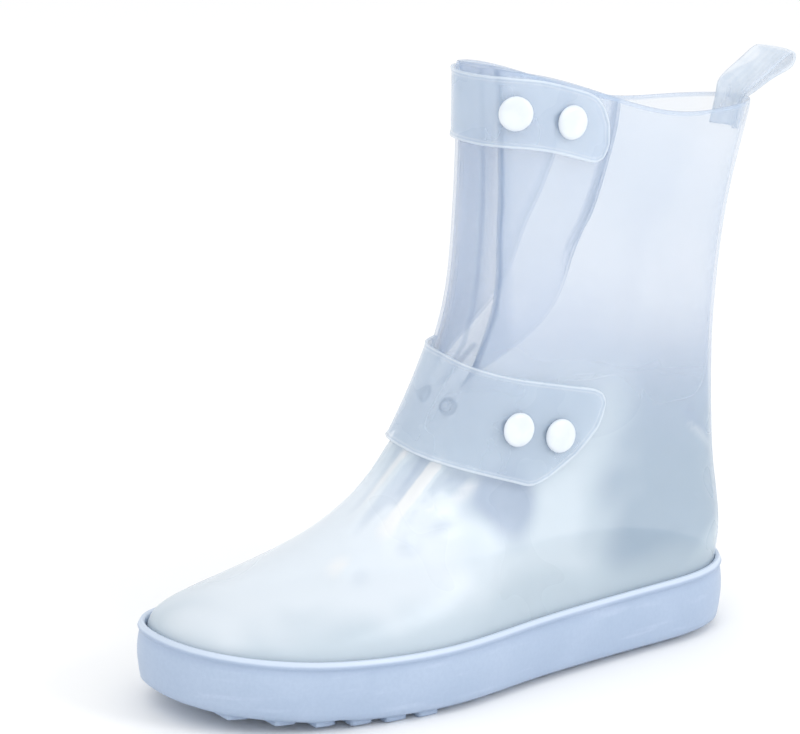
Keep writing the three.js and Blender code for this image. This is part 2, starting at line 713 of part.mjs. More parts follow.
function loopGeometry() {
  const outerEnd = -WALL / 2 - RIM_BEAD / 2 - LOOP_SEAT - LOOP_THICKNESS / 2;
  const innerEnd = outerEnd - LOOP_THICKNESS - FIT_GAP;
  const path = [
    [innerEnd, -LOOP_TAIL],
    [innerEnd, -LOOP_TAIL / 2],
    [innerEnd, 0],
    ...LOOP_PATH.map(({ reach, rise }) => [reach * LOOP_REACH, rise * LOOP_RISE]),
    [outerEnd, 0],
    [outerEnd, -LOOP_TAIL / 2],
    [outerEnd, -LOOP_TAIL],
  ];
  const curve = new THREE.CatmullRomCurve3(path.map(([out, up]) => new THREE.Vector3(0, out, up)));
  const rimTop = envelopeAtLevel(1, halfOutline(1, 1).length).z;
  const grid = curve.getPoints(LOOP_STEPS).map((point) => {
    const row = [];
    for (let c = 0; c <= LOOP_COLUMNS; c += 1) {
      const x = (c / LOOP_COLUMNS - 0.5) * LOOP_WIDTH;
      const above = clamp01(point.z / LOOP_RISE);
      const wall = backWallAt(x, rimTop + Math.min(0, point.z));
      const middle = backWallAt(0, rimTop + Math.min(0, point.z)).y;
      const normal = wall.normal.clone().lerp(new THREE.Vector2(0, 1), smooth(above * 2));
      const y = mix(middle, wall.y, mix(1, LOOP_FLAT_SHARE, above));
      row.push(new THREE.Vector3(x + normal.x * point.y, y + normal.y * point.y, rimTop + point.z));
    }
    return row;
  });
  return sheetGeometry(grid, LOOP_THICKNESS);
}

const COLORS = { film: 0xdfe8f1, sole: 0xbfcde7, strap: 0xc2d0dd, cap: 0xf5fafd, stud: 0xe6edf4 };
const group = new THREE.Group();

const upperSolid = wallHoles.reduce((solid, drill) => solid.subtract(drill), toSolid(upperGeometry()));
addMesh(group, "upper", fromSolid(upperSolid), COLORS.film, 0.3);

const lugs = lugGeometries().map((block) => toSolid(cleanGeometry(block)));
const soleSolid = lugs.reduce((solid, lug) => solid.add(lug), toSolid(soleGeometry()));
addMesh(group, "sole", fromSolid(soleSolid), COLORS.sole, 0.4);

const tab = strapSolid({
  root: TAB_ROOT,
  reach: TAB_REACH,
  width: TAB_WIDTH,
  centreAt: tabCentre,
  liftFrom: TAB_STUD_PLACE - CAP_DIAMETER / 2 - STRAP_EASE,
  holes: strapHoles(tabStuds),
});
addMesh(group, "rim_tab", fromSolid(tab), COLORS.strap, 0.35);

const ankleStrap = strapSolid({
  root: ANKLE_STRAP_ROOT,
  reach: ANKLE_STRAP_REACH,
  width: ANKLE_STRAP_WIDTH,
  centreAt: ankleCentre,
  liftFrom: SPARE_STUD_PLACE - CAP_DIAMETER / 2 - STRAP_EASE,
  holes: strapHoles(ankleStuds),
});
addMesh(group, "ankle_strap", fromSolid(ankleStrap), COLORS.strap, 0.35);

const cap = capGeometry();
const stud = studGeometry();
const STUD_SETS = { rim_tab: tabStuds, ankle: ankleStuds };
for (const [name, frames] of Object.entries(STUD_SETS)) {
  frames.forEach((frame, i) => {
    addMesh(group, `${name}_cap_${i + 1}`, placed(cap, frame), COLORS.cap, 0.25);
    addMesh(group, `${name}_stud_${i + 1}`, placed(stud, frame), COLORS.stud, 0.3);
  });
}
spareStuds.forEach((frame, i) => {
  addMesh(group, `spare_stud_${i + 1}`, placed(stud, frame), COLORS.stud, 0.3);
});

addMesh(group, "pull_loop", loopGeometry(), COLORS.strap, 0.35);

export default group;
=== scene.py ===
import math

import bmesh
import bpy
from mathutils import Matrix, Vector, kdtree, noise
from mathutils.bvhtree import BVHTree


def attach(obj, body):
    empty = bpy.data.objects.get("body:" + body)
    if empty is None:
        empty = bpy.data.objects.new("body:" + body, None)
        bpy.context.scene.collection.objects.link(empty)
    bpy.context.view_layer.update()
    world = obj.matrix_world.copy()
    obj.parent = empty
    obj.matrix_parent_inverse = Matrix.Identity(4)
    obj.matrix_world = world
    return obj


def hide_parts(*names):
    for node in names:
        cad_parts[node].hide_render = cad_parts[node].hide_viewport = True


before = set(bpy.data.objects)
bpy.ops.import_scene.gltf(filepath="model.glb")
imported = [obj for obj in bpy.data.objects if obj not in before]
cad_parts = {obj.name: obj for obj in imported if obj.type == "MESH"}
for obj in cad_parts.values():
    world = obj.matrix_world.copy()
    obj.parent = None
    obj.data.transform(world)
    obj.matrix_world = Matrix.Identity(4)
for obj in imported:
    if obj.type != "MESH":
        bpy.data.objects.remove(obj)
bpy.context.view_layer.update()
scene = bpy.context.scene


# Upper. One thin wall of clear soft PVC, dip-moulded in one piece from the sock under the foot
# to the rim. The sock sits inside the sole cup, and the front of the shaft folds in as a bellows
# with a narrow tongue between two folds, so the shaft can be opened wide for the foot.
WELD_DISTANCE = 0.00002
QUAD_BEND = math.radians(40)
QUAD_SKEW = math.radians(70)


def welded_copy(node):
    """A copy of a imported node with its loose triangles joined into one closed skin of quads."""
    shape = bmesh.new()
    shape.from_mesh(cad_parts[node].data)
    bmesh.ops.remove_doubles(shape, verts=shape.verts, dist=WELD_DISTANCE)
    bmesh.ops.join_triangles(
        shape,
        faces=shape.faces,
        angle_face_threshold=QUAD_BEND,
        angle_shape_threshold=QUAD_SKEW,
    )
    return shape


def keep_sharp(shape, angle, sharpness):
    """Edges that turn more than the angle stay sharp when the shape is smoothed."""
    crease = shape.edges.layers.float.new("crease_edge")
    for edge in shape.edges:
        if len(edge.link_faces) == 2 and edge.calc_face_angle() > angle:
            edge[crease] = sharpness


def smoothed(shape, name, levels):
    """The shape as a piece of that name, with subdivision applied to its mesh."""
    mesh = bpy.data.meshes.new(name)
    shape.to_mesh(mesh)
    shape.free()
    piece = bpy.data.objects.new(name, mesh)
    scene.collection.objects.link(piece)
    rounding = piece.modifiers.new("rounding", "SUBSURF")
    rounding.levels = rounding.render_levels = levels
    rounded = piece.evaluated_get(bpy.context.evaluated_depsgraph_get())
    piece.data = bpy.data.meshes.new_from_object(rounded)
    piece.modifiers.clear()
    piece.data.shade_smooth()
    return piece


def seated(piece, finish, slot, *nodes):
    """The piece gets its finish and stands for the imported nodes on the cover's one body."""
    piece.data.materials.clear()
    piece.data.materials.append(finish)
    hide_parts(*nodes)
    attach(piece, "root")


def new_finish(name):
    """A material with its node tree and its Principled shader."""
    finish = bpy.data.materials.new(name)
    finish.use_nodes = True
    return finish, finish.node_tree, finish.node_tree.nodes["Principled BSDF"]


def put(tree, kind, feeds=(), **settings):
    """A new node with its settings, fed by (socket, value or output) pairs."""
    node = tree.nodes.new(kind)
    for name, value in settings.items():
        setattr(node, name, value)
    for socket, source in feeds:
        if isinstance(source, bpy.types.NodeSocket):
            tree.links.new(source, node.inputs[socket])
        else:
            node.inputs[socket].default_value = source
    return node


def cloud(tree, where, size, detail=3.0, roughness=0.5, distortion=0.0):
    """Soft noise whose patches are about that many metres across."""
    return put(
        tree,
        "ShaderNodeTexNoise",
        [
            ("Vector", where),
            ("Scale", 1 / size),
            ("Detail", detail),
            ("Roughness", roughness),
            ("Distortion", distortion),
        ],
    ).outputs["Fac"]


def ramp(tree, source, start, end, low=0.0, high=1.0):
    """A smooth step of a number from low at start to high at end."""
    return put(
        tree,
        "ShaderNodeMapRange",
        [
            ("Value", source),
            ("From Min", start),
            ("From Max", end),
            ("To Min", low),
            ("To Max", high),
        ],
        interpolation_type="SMOOTHSTEP",
    ).outputs["Result"]


def maths(tree, operation, first, second):
    """Two numbers joined by one sum."""
    node = put(tree, "ShaderNodeMath", [(0, first), (1, second)], operation=operation)
    return node.outputs[0]


def product(tree, first, *others):
    """Several numbers multiplied."""
    for other in others:
        first = maths(tree, "MULTIPLY", first, other)
    return first


def blend(tree, share, first, second):
    """A colour between two colours."""
    node = put(tree, "ShaderNodeMix", [("Factor", share)], data_type="RGBA")
    for place, colour in ((6, first), (7, second)):
        if isinstance(colour, bpy.types.NodeSocket):
            tree.links.new(colour, node.inputs[place])
        else:
            node.inputs[place].default_value = (*colour, 1.0)
    return node.outputs[2]


def between(tree, share, first, second):
    """A number between two numbers."""
    node = put(
        tree,
        "ShaderNodeMix",
        [("Factor", share), (2, first), (3, second)],
        data_type="FLOAT",
    )
    return node.outputs[0]


def read(tree, name):
    """A number noted on the mesh under that name."""
    return put(tree, "ShaderNodeAttribute", attribute_name=name).outputs["Fac"]


def bumped(tree, shader, height, strength, distance):
    """The shader's surface gets fine relief from a height."""
    relief = put(
        tree,
        "ShaderNodeBump",
        [("Height", height), ("Strength", strength), ("Distance", distance)],
    )
    tree.links.new(relief.outputs["Normal"], shader.inputs["Normal"])


def note(piece, name, values):
    """Keeps one number for each point of the mesh, for its material to read."""
    kept = piece.data.attributes.new(name, "FLOAT", "POINT")
    kept.data.foreach_set("value", values)


def distances(piece, points):
    """How far each point of the mesh is from the nearest of the given points."""
    lookup = kdtree.KDTree(len(points))
    for i, point in enumerate(points):
        lookup.insert(point, i)
    lookup.balance()
    return [lookup.find(vertex.co)[2] for vertex in piece.data.vertices]


# Folds pressed into the vamp under the ankle strap, from start to end in millimetres. A positive
# rise is a ridge and a negative one a valley.
VAMP_FOLDS = [
    {"start": (8, -24, 108), "end": (10, -66, 72), "width": 3.6, "rise": 2.4},
    {"start": (15, -21, 106), "end": (16, -48, 80), "width": 4.0, "rise": -2.2},
    {"start": (21, -16, 104), "end": (22, -48, 76), "width": 3.2, "rise": 2.6},
    {"start": (27, -8, 100), "end": (27, -32, 82), "width": 6.0, "rise": -1.4},
    {"start": (0, -26, 109), "end": (2, -60, 76), "width": 3.6, "rise": -1.2},
    {"start": (-8, -24, 108), "end": (-8, -62, 74), "width": 3.6, "rise": 1.4},
    {"start": (-17, -20, 105), "end": (-17, -46, 80), "width": 4.2, "rise": -1.4},
    {"start": (-24, -12, 101), "end": (-23, -40, 78), "width": 4.0, "rise": 1.4},
]
VAMP_BUMPS = [
    {"at": (24, -72, 62), "size": 7.5, "rise": 2.8},
    {"at": (24, -45, 74), "size": 8.0, "rise": 3.2},
    {"at": (26, -28, 82), "size": 7.5, "rise": 2.8},
]
HEEL_CREASE = {"start": (37, 104, 113), "end": (25, 134, 88), "width": 4.5, "rise": -1.2}
# Light dents in the shaft, in millimetres, between two levels and behind the bellows fold.
DENT_RISE = 1.1
DENT_SIZE = 52.0
DENT_LOWEST = 150
DENT_HIGHEST = 226
DENT_FRONT = 30
DENT_FADE = 20
DENT_TOP_FADE = 16
MILLIMETRES = 1000
FOOT_MIDDLE = 20
SHAFT_CENTRE = 90
FOOT_TOP = 0.112
FOLD_PITCH = 0.0042
FOLD_START = 0.2
FOLD_OPENING = 6
FOLD_SPREAD = 3
LIT_SIDE = Vector((-0.8, -1.6, 2.6))


def away_from_segment(point, fold):
    """How far a point is from a fold's line and how far along it, both in millimetres and share."""
    start, end = Vector(fold["start"]), Vector(fold["end"])
    run = end - start
    share = max(0.0, min(1.0, (point - start).dot(run) / run.length_squared))
    return (point - start - run * share).length, share


def rise_at(point):
    """How far the wall stands out at a point, all in millimetres."""
    rise = 0.0
    for fold in VAMP_FOLDS + [HEEL_CREASE]:
        distance, share = away_from_segment(point, fold)
        if distance < FOLD_SPREAD * fold["width"]:
            fade = min(1.0, FOLD_OPENING * share + FOLD_START) * (1 - share**3)
            rise += fold["rise"] * fade * math.exp(-((distance / fold["width"]) ** 2))
    for bump in VAMP_BUMPS:
        distance = (point - Vector(bump["at"])).length
        rise += bump["rise"] * math.exp(-((distance / bump["size"]) ** 2))
    fade = min(
        1.0,
        (point.z - DENT_LOWEST) / DENT_FADE,
        (DENT_HIGHEST - point.z) / DENT_TOP_FADE,
        (point.y - DENT_FRONT) / DENT_FADE,
    )
    if fade > 0:
        rise += DENT_RISE * fade * noise.noise(point / DENT_SIZE)
    return rise


def press(piece):
    """Moves the wall's two skins together where folds, bumps and dents lie.

    The film is drawn thin over the upper side of each fold and lies thick on its lower side, so
    The material also reads how much a point leans away from the light, to paint shade on the
    lower side of each fold, bump and dent and a highlight on its upper side.
    """
    normals = [vertex.normal.copy() for vertex in piece.data.vertices]
    rises, light_leans = [], []
    for vertex, normal in zip(piece.data.vertices, normals):
        point = vertex.co * MILLIMETRES
        centre = Vector((0, SHAFT_CENTRE, point.z))
        if point.z < FOOT_TOP * MILLIMETRES:
            centre = Vector((0, point.y, FOOT_MIDDLE))
        outward = normal * (1 if (point - centre).dot(normal) > 0 else -1)
        rise = rise_at(point)
        rises.append(rise)
        light_leans.append(rise_at(point + LIT_SIDE) - rise)
        vertex.co += outward * (rise / MILLIMETRES)
    note(piece, "relief", rises)
    note(piece, "light_lean", light_leans)


def points_along(edges, step):
    """Points on the edges, no further apart than the step."""
    points = []
    for edge in edges:
        start, end = (vertex.co for vertex in edge.verts)
        steps = math.ceil(edge.calc_length() / step)
        points += [start.lerp(end, i / steps) for i in range(steps + 1)]
    return points


def top_edges(shape, lowest, least):
    """The edges of the faces above a height that look up."""
    faces = [face for face in shape.faces if face.normal.z > least]
    found = {edge for face in faces for edge in face.edges}
    return [edge for edge in found if min(vertex.co.z for vertex in edge.verts) > lowest]


def softened(piece, values, rounds):
    """The values averaged with those of the neighbouring points, so that they fade evenly."""
    pairs = [tuple(edge.vertices) for edge in piece.data.edges]
    for _ in range(rounds):
        total, count = list(values), [1] * len(values)
        for first, second in pairs:
            total[first] += values[second]
            total[second] += values[first]
            count[first] += 1
            count[second] += 1
        values = [each / number for each, number in zip(total, count)]
    return values


def layers_inside(piece, coarse):
    """One for points on layers inside the shaft, nought for the outer wall and the foot."""
    inner = []
    for vertex in piece.data.vertices:
        point = vertex.co
        side = Vector((math.copysign(1.0, point.x), 0, 0))
        hit = coarse.ray_cast(point + side * FOLD_PITCH * 0.5, side, FOLD_PITCH * 3)
        tongue = abs(point.x) < TONGUE_HALF and point.y < TONGUE_REACH
        inner.append(float(point.z > FOOT_TOP and (hit[0] is not None or tongue)))
    return inner


FOLD_TURN = math.radians(24)
UPRIGHT_SHARE = 0.7
EDGE_STEP = 0.0008
LAYER_ROUNDS = 5
TONGUE_HALF = 0.0095
TONGUE_REACH = 0.03
RIM_LOWEST = 0.235
RIM_LOOK_UP = 0.85
UPPER_LEVELS = 2

shape = welded_copy("upper")
coarse = BVHTree.FromBMesh(shape)
rim_points = points_along(top_edges(shape, RIM_LOWEST, RIM_LOOK_UP), EDGE_STEP)
folds = [
    edge
    for edge in shape.edges
    if len(edge.link_faces) == 2
    and min(vertex.co.z for vertex in edge.verts) > FOOT_TOP
    and abs(edge.verts[0].co.z - edge.verts[1].co.z) > UPRIGHT_SHARE * edge.calc_length()
    and edge.calc_face_angle() > FOLD_TURN
]
fold_points = points_along(folds, EDGE_STEP)
upper = smoothed(shape, "upper_film", UPPER_LEVELS)
note(upper, "inner_layer", softened(upper, layers_inside(upper, coarse), LAYER_ROUNDS))
note(upper, "rim_distance", distances(upper, rim_points))
note(upper, "fold_distance", distances(upper, fold_points))
press(upper)

# The film's colours: clear at the rim, greyer downwards, milky over the foot and white on top
# of the vamp, with a painted shadow under the ankle strap and painted shade and highlights on
# the folds. Each share says how much of the view one skin of the wall stops.
CLEAR_BLUE = (0.49, 0.595, 0.75)
LOW_SHAFT = (0.47, 0.57, 0.74)
HEEL_GREY = (0.44, 0.545, 0.655)
SIDE_MILK = (0.78, 0.87, 0.94)
MILK_WHITE = (0.86, 0.92, 0.98)
RIDGE_HIGHLIGHT = (1.0, 1.0, 1.0)
LINE_BLUE = (0.30, 0.40, 0.56)
WELT_GREY = (0.62, 0.72, 0.80)
PAINTED_SHADE_BLUE = (0.42, 0.51, 0.66)
FOLD_BLUE = (0.44, 0.545, 0.71)
FILM_SHARE = 0.155
LOW_SHARE = 0.19
LINE_SHARE = 0.34
FOOT_SHARE = 0.5
MILK_SHARE = 0.62
LAYER_SHARE = 0.065
FOLD_SHARE = 0.17
HEM_SHARE = 0.36
INNER_HEM = 0.25
GRAZE_SHARE = 0.55

# Where those areas begin and end, in metres: heights from the ground, places along the cover
# from the middle of its sole, and widths on the film.
SHAFT_FADE = (0.22, 0.14)
FOOT_FADE = (0.166, 0.080)
SIDE_FADE = (0.085, 0.045)
VAMP_BACK = (0.01, -0.04)
VAMP_TOP = (0.106, 0.082)
WELT_FADE = (0.056, 0.038)
STRAP_SHADE = (0.032, 0.006, 0.088)
STRAP_SHADE_FADE = (0.026, 0.008)
LEFT_TO_RIGHT = (-0.004, 0.004)
NEAR_STEP = 0.013
FOLD_REACH = (0.034, 0.029)
FOLD_FOOT = (0.12, 0.14)
CORNER_RISE = (0.250, 0.266)
LINE_WIDTH = (0.0020, 0.0006)
LINE_REACH = (0.03, 0.022)
LINE_FOOT = (0.112, 0.13)
CREASE_FOOT = (0.165, 0.215)
HEM_WIDTH = (0.0028, 0.0022)
WISP_SIZE = 0.05
HAZE_SIZE = 0.085
DRIFT = 0.05
UP_DRIFT = 0.6
MIDDLING = (0.3, 0.7)
FILM_GLOSS = (0.24, 0.38)
THIN_TO_THICK = (1.25, 0.75)
FAR_LINES = 0.3
GRAZE_BLEND = 0.25
# How deep a valley lies and how far a fold leans towards or away from the light, in millimetres,
# where the painted shade in a valley, the painted shade on a fold's lower side and the painted
# highlight on its upper side start, and where each is full.
VALLEY_DEPTH = (-0.15, -1.3)
SHADED_SIDE_LEAN = (0.1, 1.3)
HIGHLIT_SIDE_LEAN = (-0.1, -0.9)

film, tree, shader = new_finish("clear_film")
where = put(tree, "ShaderNodeTexCoord").outputs["Object"]
place = put(tree, "ShaderNodeSeparateXYZ", [("Vector", where)])
inner = read(tree, "inner_layer")
hem = read(tree, "rim_distance")
edge = read(tree, "fold_distance")
relief = read(tree, "relief")
light_lean = read(tree, "light_lean")
wisps = cloud(tree, where, WISP_SIZE, 1.0, 0.45, 0.6)
haze = cloud(tree, where, HAZE_SIZE, 1.0, 0.4)
drift = maths(tree, "MULTIPLY", maths(tree, "SUBTRACT", wisps, 0.5), DRIFT)
along = maths(tree, "ADD", place.outputs["Y"], drift)
height = maths(tree, "ADD", place.outputs["Z"], maths(tree, "MULTIPLY", drift, UP_DRIFT))

foot = ramp(tree, height, *FOOT_FADE)
side = ramp(tree, along, *SIDE_FADE)
vamp = product(tree, ramp(tree, along, *VAMP_BACK), ramp(tree, height, *VAMP_TOP))
welt = product(tree, ramp(tree, height, *WELT_FADE), foot, 0.85)
# Painted shadow of the ankle strap on the film under it.
near_strap = put(
    tree,
    "ShaderNodeVectorMath",
    [(0, where), (1, STRAP_SHADE)],
    operation="DISTANCE",
).outputs["Value"]
shade = ramp(tree, maths(tree, "ADD", near_strap, drift), *STRAP_SHADE_FADE, 0.0, 0.9)
sideways = ramp(tree, place.outputs["X"], *LEFT_TO_RIGHT)
reach = maths(tree, "ADD", place.outputs["Y"], maths(tree, "MULTIPLY", sideways, NEAR_STEP))
front = product(tree, inner, ramp(tree, reach, *FOLD_REACH), ramp(tree, height, *FOLD_FOOT))
corner = product(tree, front, ramp(tree, place.outputs["Z"], *CORNER_RISE), 0.3)
high_lines = ramp(tree, place.outputs["Z"], *CREASE_FOOT)
front_lines = ramp(tree, place.outputs["Y"], *LINE_REACH)
front_lines = product(tree, front_lines, ramp(tree, height, *LINE_FOOT))
line = product(
    tree,
    ramp(tree, edge, *LINE_WIDTH),
    between(tree, sideways, FAR_LINES, 1.0),
    maths(tree, "MAXIMUM", high_lines, front_lines),
)

tint = blend(tree, ramp(tree, height, *SHAFT_FADE), CLEAR_BLUE, LOW_SHAFT)
tint = blend(tree, foot, tint, HEEL_GREY)
tint = blend(tree, product(tree, foot, side), tint, SIDE_MILK)
tint = blend(tree, vamp, tint, MILK_WHITE)
tint = blend(tree, welt, tint, WELT_GREY)
tint = blend(tree, shade, tint, PAINTED_SHADE_BLUE)
tint = blend(tree, front, tint, FOLD_BLUE)
tint = blend(tree, maths(tree, "MAXIMUM", line, corner), tint, LINE_BLUE)
# Painted shade in the valleys of the folds, painted shade on the lower side of each fold and bump,
# and a painted highlight on its upper side.
tint = blend(tree, ramp(tree, relief, *VALLEY_DEPTH, 0.0, 0.6), tint, PAINTED_SHADE_BLUE)
tint = blend(tree, ramp(tree, light_lean, *SHADED_SIDE_LEAN, 0.0, 0.42), tint, PAINTED_SHADE_BLUE)
tint = blend(tree, ramp(tree, light_lean, *HIGHLIT_SIDE_LEAN, 0.0, 0.9), tint, RIDGE_HIGHLIGHT)
tree.links.new(tint, shader.inputs["Base Color"])

thickness = ramp(tree, haze, *MIDDLING, *THIN_TO_THICK)
wall = ramp(tree, height, *SHAFT_FADE, FILM_SHARE, LOW_SHARE)
share = maths(tree, "MULTIPLY", thickness, wall)
share = between(tree, inner, share, LAYER_SHARE)
share = between(tree, foot, share, FOOT_SHARE)
share = between(tree, vamp, share, MILK_SHARE)
share = between(tree, front, share, FOLD_SHARE)
share = between(tree, line, share, LINE_SHARE)
hem_band = product(tree, ramp(tree, hem, *HEM_WIDTH), between(tree, inner, 1.0, INNER_HEM))
share = between(tree, hem_band, share, HEM_SHARE)
graze = put(tree, "ShaderNodeLayerWeight", [("Blend", GRAZE_BLEND)]).outputs["Facing"]
share = between(tree, product(tree, graze, graze, GRAZE_SHARE), share, 1.0)
tree.links.new(share, shader.inputs["Alpha"])
tree.links.new(ramp(tree, wisps, *MIDDLING, *FILM_GLOSS), shader.inputs["Roughness"])
seated(upper, film, "clear_film", "upper")


# Sole. A thick cup of milky blue PVC, moulded round the sock, with a bulged side wall, a groove
# under its lip and a tread of blocks below.
SOLE_BLUE = (0.41, 0.51, 0.67)
SOLE_PALE = (0.45, 0.55, 0.71)
LIP_HIGHLIGHT = (0.66, 0.75, 0.88)
SOLE_GRAIN_AND_SHADE = (0.34, 0.43, 0.60)
STREAK_HIGHLIGHT = (0.58, 0.67, 0.83)
LIP_LOWEST = 0.026
LIP_LOOK_UP = 0.6
LIP_HIGHLIGHT_LINE = (0.0026, 0.0014)
GROOVE_SHADE_LINE = (0.0075, 0.0045)
SOLE_TURN = math.radians(28)
SOLE_SHARPNESS = 0.75
SOLE_LEVELS = 2
SWIRL_SIZE = 0.045
SWIRL_BAND = (0.35, 0.75)
STREAK_SIZE = 0.004
STREAK_STRETCH = (0.12, 0.12, 1.0)
STREAK_BAND = (0.55, 0.75)
GRAIN_SIZE = 0.0016
GRAIN_BAND = (0.4, 0.62)
GRAIN_DEPTH = 0.0003
SOLE_GLOSS = (0.34, 0.44)
SOLE_SHARE = 0.92

milky, tree, shader = new_finish("milky_sole")
where = put(tree, "ShaderNodeTexCoord").outputs["Object"]
swirl = cloud(tree, where, SWIRL_SIZE, 3.0, 0.5, 0.8)
stretched = put(tree, "ShaderNodeMapping", [("Vector", where), ("Scale", STREAK_STRETCH)])
streak = cloud(tree, stretched.outputs["Vector"], STREAK_SIZE, 2.0)
grain = cloud(tree, where, GRAIN_SIZE, 2.0, 0.6)
lip = read(tree, "lip_distance")
tint = blend(tree, ramp(tree, swirl, *SWIRL_BAND), SOLE_BLUE, SOLE_PALE)
# Painted highlight in faint horizontal streaks over the sole's wall.
tint = blend(tree, ramp(tree, streak, *STREAK_BAND, 0.0, 0.35), tint, STREAK_HIGHLIGHT)
tint = blend(tree, ramp(tree, grain, *GRAIN_BAND, 0.0, 0.16), tint, SOLE_GRAIN_AND_SHADE)
# Painted shade in the groove under the lip, and a painted highlight along the lip's top edge; the
# same dark colour also speckles the sole's grain.
tint = blend(tree, ramp(tree, lip, *GROOVE_SHADE_LINE, 0.0, 0.35), tint, SOLE_GRAIN_AND_SHADE)
tint = blend(tree, ramp(tree, lip, *LIP_HIGHLIGHT_LINE, 0.0, 0.85), tint, LIP_HIGHLIGHT)
tree.links.new(tint, shader.inputs["Base Color"])
tree.links.new(ramp(tree, swirl, *MIDDLING, *SOLE_GLOSS), shader.inputs["Roughness"])
bumped(tree, shader, grain, 0.15, GRAIN_DEPTH)
shader.inputs["Alpha"].default_value = SOLE_SHARE

shape = welded_copy("sole")
keep_sharp(shape, SOLE_TURN, SOLE_SHARPNESS)
lip_points = points_along(top_edges(shape, LIP_LOWEST, LIP_LOOK_UP), EDGE_STEP)
sole = smoothed(shape, "sole_cup", SOLE_LEVELS)
note(sole, "lip_distance", distances(sole, lip_points))
seated(sole, milky, "milky_sole", "sole")


# Straps. Two flat straps of the same clear PVC, welded on the inner side of the shaft. Each
# has a raised bead round its edge and two press studs near its free end.
STRAP_BLUE = (0.53, 0.63, 0.76)
STRAP_PALE = (0.58, 0.68, 0.80)
BEAD_HIGHLIGHT = (0.84, 0.90, 0.96)
BEAD_SHADE = (0.38, 0.47, 0.60)
BEAD_WIDTH = 0.0011
BEAD_HEIGHT = 0.0005
BEAD_SLOPE = 0.0007
BEAD_FAR = 9.0
# Bands beside the strap's edge, in millimetres from it: the bead, the groove inside it, the foot
# of the groove, and how far the bead's denser plastic reaches. The bead and the groove's foot
# get a painted highlight, and the groove a painted shade.
BEAD_BAND = (1.3, 0.9)
GROOVE_BAND = (2.1, 1.6)
FOOT_BAND = (2.9, 2.1)
DENSE_BAND = (2.4, 1.4)
STRAP_GRAZE = 0.5
STRAP_TURN = math.radians(50)
STRAP_SHARPNESS = 0.8
STRAP_LEVELS = 3
STRAP_AXIS = 0.07
OUTER_LOOK = 0.3
MOTTLE_SIZE = 0.03
RIPPLE_DEPTH = 0.002
STRAP_GLOSS = (0.22, 0.32)
STRAP_SHARE = 0.32
BEAD_SHARE = 0.55

strap_film, tree, shader = new_finish("strap_film")
where = put(tree, "ShaderNodeTexCoord").outputs["Object"]
mottle = cloud(tree, where, MOTTLE_SIZE, 2.0, 0.5)
bead = read(tree, "bead_distance")
tint = blend(tree, ramp(tree, mottle, *MIDDLING), STRAP_BLUE, STRAP_PALE)
# Painted highlight at the foot of the groove and on the bead, and painted shade in the groove
# between them.
tint = blend(tree, ramp(tree, bead, *FOOT_BAND, 0.0, 0.45), tint, BEAD_HIGHLIGHT)
tint = blend(tree, ramp(tree, bead, *GROOVE_BAND, 0.0, 0.6), tint, BEAD_SHADE)
tint = blend(tree, ramp(tree, bead, *BEAD_BAND, 0.0, 0.75), tint, BEAD_HIGHLIGHT)
tree.links.new(tint, shader.inputs["Base Color"])
tree.links.new(ramp(tree, mottle, *MIDDLING, *STRAP_GLOSS), shader.inputs["Roughness"])
bumped(tree, shader, cloud(tree, where, MOTTLE_SIZE, 1.0), 0.05, RIPPLE_DEPTH)
graze = put(tree, "ShaderNodeLayerWeight", [("Blend", 0.3)]).outputs["Facing"]
share = between(tree, product(tree, graze, STRAP_GRAZE), STRAP_SHARE, 1.0)
share = between(tree, ramp(tree, bead, *DENSE_BAND), share, BEAD_SHARE)
tree.links.new(share, shader.inputs["Alpha"])


def outer_face(shape, turn):
    """The faces of a strap's outer side: those that join its largest one without a sharp edge."""
    start = max(shape.faces, key=lambda face: face.calc_area() * face.normal.x)
    found, waiting = {start}, [start]
    while waiting:
        for edge in waiting.pop().edges:
            if len(edge.link_faces) == 2 and edge.calc_face_angle() < turn:
                new = set(edge.link_faces) - found
                found |= new
                waiting += new
    return found


def sink_field(piece, outline):
    """Lowers a strap's outer side within its bead, and notes where the bead is."""
    away = distances(piece, outline)
    normals = [vertex.normal.copy() for vertex in piece.data.vertices]
    beads = []
    for vertex, normal, distance in zip(piece.data.vertices, normals, away):
        middle = Vector((0, STRAP_AXIS, vertex.co.z))
        outer = (vertex.co - middle).normalized().dot(normal) > OUTER_LOOK
        sunk = min(1.0, max(0.0, (distance - BEAD_WIDTH) / BEAD_SLOPE)) if outer else 0.0
        vertex.co -= normal * (BEAD_HEIGHT * sunk)
        beads.append(distance * MILLIMETRES if outer else BEAD_FAR)
    note(piece, "bead_distance", beads)


for node, name in (("rim_tab", "rim_tab_band"), ("ankle_strap", "ankle_strap_band")):
    shape = welded_copy(node)
    keep_sharp(shape, STRAP_TURN, STRAP_SHARPNESS)
    face = outer_face(shape, STRAP_TURN)
    rims = [edge for edge in shape.edges if len(set(edge.link_faces) & face) == 1]
    outline = points_along(rims, EDGE_STEP)
    strap = smoothed(shape, name, STRAP_LEVELS)
    sink_field(strap, outline)
    seated(strap, strap_film, "strap_film", node)


